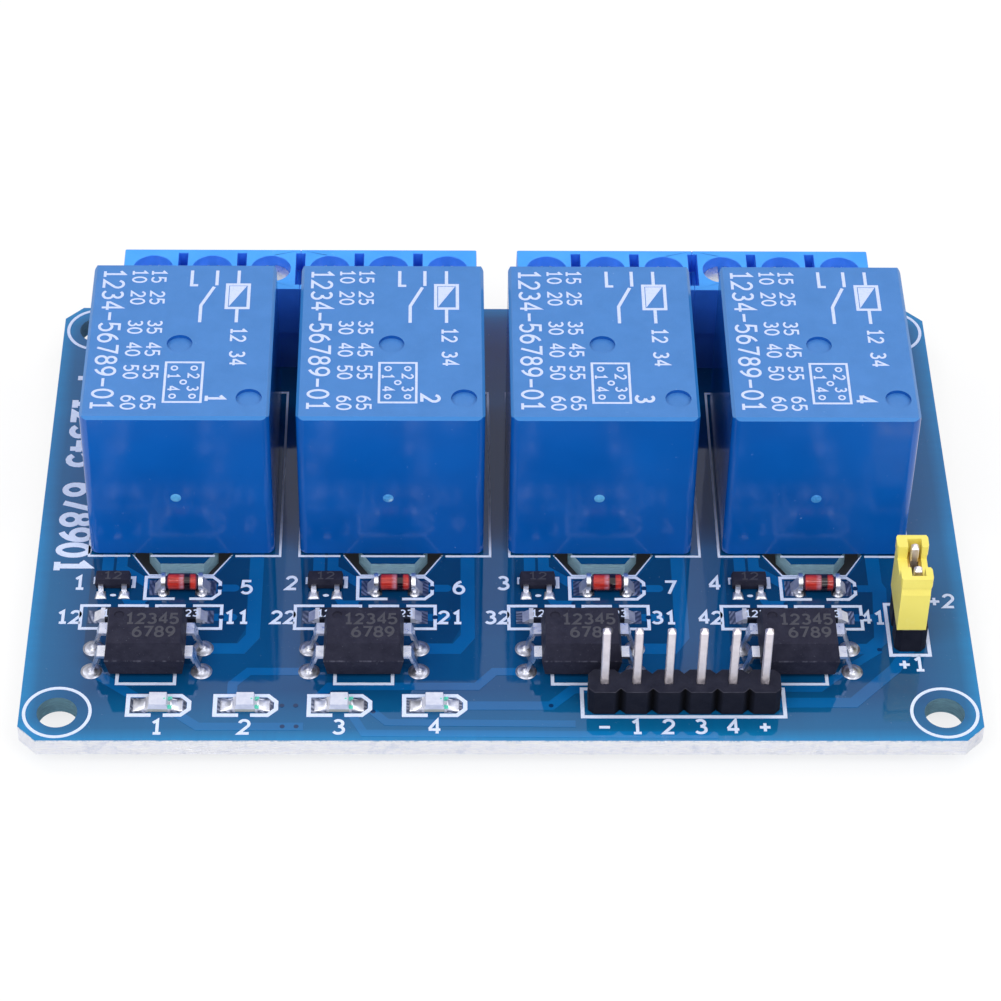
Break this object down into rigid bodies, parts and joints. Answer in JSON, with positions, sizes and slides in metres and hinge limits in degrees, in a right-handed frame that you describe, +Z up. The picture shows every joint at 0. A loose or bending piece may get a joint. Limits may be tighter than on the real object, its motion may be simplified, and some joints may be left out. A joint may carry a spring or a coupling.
{
  "type": "relay module board",
  "caption": "Blue circuit board with a row of relays, screw terminal strips along one edge, optocoupler inputs on a pin header, indicator lamps and a supply jumper.",
  "frame": {"origin": "centre of the four mounting holes, on the underside of the circuit board", "axes": "+X along the terminal strips, +Y from the input header to the terminals, +Z up out of the component side"},
  "size_m": [0.0764, 0.0522, 0.0185],
  "materials": {
    "board_laminate": "glass fibre laminate under a glossy blue solder mask",
    "relay_case": "satin moulded blue plastic",
    "relay_base_plastic": "moulded blue plastic",
    "terminal_plastic": "satin moulded blue plastic",
    "iron": "zinc plated soft iron",
    "screw_steel": "zinc plated steel",
    "clamp_steel": "zinc plated steel",
    "black_plastic": "fine matte moulding",
    "copper_wire": "enamelled copper winding",
    "tinned_metal": "bright tin plating",
    "pin_metal": "tin plated brass",
    "diode_glass": "tinted glass",
    "resistor_body": "black overglaze on ceramic",
    "lamp_body": "clear resin over a white base",
    "cap_plastic": "soft yellow moulding",
    "contact_brass": "sprung brass strip",
    "solder": "bright solder"
  },
  "bodies": {
    "board": {"circuit_board": "board_laminate", "relay_cover_1": "relay_case", "relay_cover_2": "relay_case", "relay_cover_3": "relay_case", "relay_cover_4": "relay_case", "relay_bases": "relay_base_plastic", "relay_bobbins": "black_plastic", "relay_coils": "copper_wire", "relay_yokes": "iron", "relay_terminals": "tinned_metal", "terminal_housing_1": "terminal_plastic", "terminal_housing_2": "terminal_plastic", "terminal_housing_3": "terminal_plastic", "terminal_housing_4": "terminal_plastic", "terminal_contacts": "tinned_metal", "optocouplers": "black_plastic", "opto_leads": "tinned_metal", "transistors": "black_plastic", "transistor_leads": "tinned_metal", "diodes": "diode_glass", "diode_caps": "tinned_metal", "resistors": "resistor_body", "resistor_caps": "tinned_metal", "leds": "lamp_body", "led_caps": "tinned_metal", "input_header_base": "black_plastic", "input_header_pins": "pin_metal", "jumper_header_base": "black_plastic", "jumper_header_pins": "pin_metal", "solder_joints": "solder"},
    "terminal_screw_1": {"terminal_screw_1": "screw_steel"},
    "wire_clamp_1": {"wire_clamp_1": "clamp_steel"},
    "terminal_screw_2": {"terminal_screw_2": "screw_steel"},
    "wire_clamp_2": {"wire_clamp_2": "clamp_steel"},
    "terminal_screw_3": {"terminal_screw_3": "screw_steel"},
    "wire_clamp_3": {"wire_clamp_3": "clamp_steel"},
    "terminal_screw_4": {"terminal_screw_4": "screw_steel"},
    "wire_clamp_4": {"wire_clamp_4": "clamp_steel"},
    "terminal_screw_5": {"terminal_screw_5": "screw_steel"},
    "wire_clamp_5": {"wire_clamp_5": "clamp_steel"},
    "terminal_screw_6": {"terminal_screw_6": "screw_steel"},
    "wire_clamp_6": {"wire_clamp_6": "clamp_steel"},
    "terminal_screw_7": {"terminal_screw_7": "screw_steel"},
    "wire_clamp_7": {"wire_clamp_7": "clamp_steel"},
    "terminal_screw_8": {"terminal_screw_8": "screw_steel"},
    "wire_clamp_8": {"wire_clamp_8": "clamp_steel"},
    "terminal_screw_9": {"terminal_screw_9": "screw_steel"},
    "wire_clamp_9": {"wire_clamp_9": "clamp_steel"},
    "terminal_screw_10": {"terminal_screw_10": "screw_steel"},
    "wire_clamp_10": {"wire_clamp_10": "clamp_steel"},
    "terminal_screw_11": {"terminal_screw_11": "screw_steel"},
    "wire_clamp_11": {"wire_clamp_11": "clamp_steel"},
    "terminal_screw_12": {"terminal_screw_12": "screw_steel"},
    "wire_clamp_12": {"wire_clamp_12": "clamp_steel"},
    "jumper": {"jumper_cap": "cap_plastic", "jumper_contact": "contact_brass"},
    "armature_1": {"relay_armature_1": "iron"},
    "armature_2": {"relay_armature_2": "iron"},
    "armature_3": {"relay_armature_3": "iron"},
    "armature_4": {"relay_armature_4": "iron"}
  },
  "joints": [
    {"name": "screw_1_turn", "type": "hinge", "parent": "board", "child": "terminal_screw_1", "pos_m": [-0.0297, 0.02055, 0.0086], "axis": [0, 0, 1], "range_deg": [-900, 0]},
    {"name": "clamp_1_lift", "type": "slide", "parent": "board", "child": "wire_clamp_1", "axis": [0, 0, 1], "range_m": [0, 0.00112]},
    {"name": "screw_2_turn", "type": "hinge", "parent": "board", "child": "terminal_screw_2", "pos_m": [-0.02462, 0.02055, 0.0086], "axis": [0, 0, 1], "range_deg": [-900, 0]},
    {"name": "clamp_2_lift", "type": "slide", "parent": "board", "child": "wire_clamp_2", "axis": [0, 0, 1], "range_m": [0, 0.00112]},
    {"name": "screw_3_turn", "type": "hinge", "parent": "board", "child": "terminal_screw_3", "pos_m": [-0.01954, 0.02055, 0.0086], "axis": [0, 0, 1], "range_deg": [-900, 0]},
    {"name": "clamp_3_lift", "type": "slide", "parent": "board", "child": "wire_clamp_3", "axis": [0, 0, 1], "range_m": [0, 0.00112]},
    {"name": "screw_4_turn", "type": "hinge", "parent": "board", "child": "terminal_screw_4", "pos_m": [-0.01446, 0.02055, 0.0086], "axis": [0, 0, 1], "range_deg": [-900, 0]},
    {"name": "clamp_4_lift", "type": "slide", "parent": "board", "child": "wire_clamp_4", "axis": [0, 0, 1], "range_m": [0, 0.00112]},
    {"name": "screw_5_turn", "type": "hinge", "parent": "board", "child": "terminal_screw_5", "pos_m": [-0.00938, 0.02055, 0.0086], "axis": [0, 0, 1], "range_deg": [-900, 0]},
    {"name": "clamp_5_lift", "type": "slide", "parent": "board", "child": "wire_clamp_5", "axis": [0, 0, 1], "range_m": [0, 0.00112]},
    {"name": "screw_6_turn", "type": "hinge", "parent": "board", "child": "terminal_screw_6", "pos_m": [-0.0043, 0.02055, 0.0086], "axis": [0, 0, 1], "range_deg": [-900, 0]},
    {"name": "clamp_6_lift", "type": "slide", "parent": "board", "child": "wire_clamp_6", "axis": [0, 0, 1], "range_m": [0, 0.00112]},
    {"name": "screw_7_turn", "type": "hinge", "parent": "board", "child": "terminal_screw_7", "pos_m": [0.0043, 0.02055, 0.0086], "axis": [0, 0, 1], "range_deg": [-900, 0]},
    {"name": "clamp_7_lift", "type": "slide", "parent": "board", "child": "wire_clamp_7", "axis": [0, 0, 1], "range_m": [0, 0.00112]},
    {"name": "screw_8_turn", "type": "hinge", "parent": "board", "child": "terminal_screw_8", "pos_m": [0.00938, 0.02055, 0.0086], "axis": [0, 0, 1], "range_deg": [-900, 0]},
    {"name": "clamp_8_lift", "type": "slide", "parent": "board", "child": "wire_clamp_8", "axis": [0, 0, 1], "range_m": [0, 0.00112]},
    {"name": "screw_9_turn", "type": "hinge", "parent": "board", "child": "terminal_screw_9", "pos_m": [0.01446, 0.02055, 0.0086], "axis": [0, 0, 1], "range_deg": [-900, 0]},
    {"name": "clamp_9_lift", "type": "slide", "parent": "board", "child": "wire_clamp_9", "axis": [0, 0, 1], "range_m": [0, 0.00112]},
    {"name": "screw_10_turn", "type": "hinge", "parent": "board", "child": "terminal_screw_10", "pos_m": [0.01954, 0.02055, 0.0086], "axis": [0, 0, 1], "range_deg": [-900, 0]},
    {"name": "clamp_10_lift", "type": "slide", "parent": "board", "child": "wire_clamp_10", "axis": [0, 0, 1], "range_m": [0, 0.00112]},
    {"name": "screw_11_turn", "type": "hinge", "parent": "board", "child": "terminal_screw_11", "pos_m": [0.02462, 0.02055, 0.0086], "axis": [0, 0, 1], "range_deg": [-900, 0]},
    {"name": "clamp_11_lift", "type": "slide", "parent": "board", "child": "wire_clamp_11", "axis": [0, 0, 1], "range_m": [0, 0.00112]},
    {"name": "screw_12_turn", "type": "hinge", "parent": "board", "child": "terminal_screw_12", "pos_m": [0.0297, 0.02055, 0.0086], "axis": [0, 0, 1], "range_deg": [-900, 0]},
    {"name": "clamp_12_lift", "type": "slide", "parent": "board", "child": "wire_clamp_12", "axis": [0, 0, 1], "range_m": [0, 0.00112]},
    {"name": "jumper_pull", "type": "slide", "parent": "board", "child": "jumper", "axis": [0, 0, 1], "range_m": [0, 0.008]},
    {"name": "armature_1_swing", "type": "hinge", "parent": "board", "child": "armature_1", "pos_m": [-0.0262, -0.00315, 0.01245], "axis": [-1, 0, 0], "range_deg": [0, 2.4], "stiffness_Nm_per_rad": 0.02, "springref_deg": -3.44},
    {"name": "armature_2_swing", "type": "hinge", "parent": "board", "child": "armature_2", "pos_m": [-0.0089, -0.00315, 0.01245], "axis": [-1, 0, 0], "range_deg": [0, 2.4], "stiffness_Nm_per_rad": 0.02, "springref_deg": -3.44},
    {"name": "armature_3_swing", "type": "hinge", "parent": "board", "child": "armature_3", "pos_m": [0.00835, -0.00315, 0.01245], "axis": [-1, 0, 0], "range_deg": [0, 2.4], "stiffness_Nm_per_rad": 0.02, "springref_deg": -3.44},
    {"name": "armature_4_swing", "type": "hinge", "parent": "board", "child": "armature_4", "pos_m": [0.0261, -0.00315, 0.01245], "axis": [-1, 0, 0], "range_deg": [0, 2.4], "stiffness_Nm_per_rad": 0.02, "springref_deg": -3.44}
  ],
  "couplings": [
    {"joint": "screw_1_turn", "follows": "clamp_1_lift", "rad_per_m": -13963},
    {"joint": "screw_2_turn", "follows": "clamp_2_lift", "rad_per_m": -13963},
    {"joint": "screw_3_turn", "follows": "clamp_3_lift", "rad_per_m": -13963},
    {"joint": "screw_4_turn", "follows": "clamp_4_lift", "rad_per_m": -13963},
    {"joint": "screw_5_turn", "follows": "clamp_5_lift", "rad_per_m": -13963},
    {"joint": "screw_6_turn", "follows": "clamp_6_lift", "rad_per_m": -13963},
    {"joint": "screw_7_turn", "follows": "clamp_7_lift", "rad_per_m": -13963},
    {"joint": "screw_8_turn", "follows": "clamp_8_lift", "rad_per_m": -13963},
    {"joint": "screw_9_turn", "follows": "clamp_9_lift", "rad_per_m": -13963},
    {"joint": "screw_10_turn", "follows": "clamp_10_lift", "rad_per_m": -13963},
    {"joint": "screw_11_turn", "follows": "clamp_11_lift", "rad_per_m": -13963},
    {"joint": "screw_12_turn", "follows": "clamp_12_lift", "rad_per_m": -13963}
  ]
}
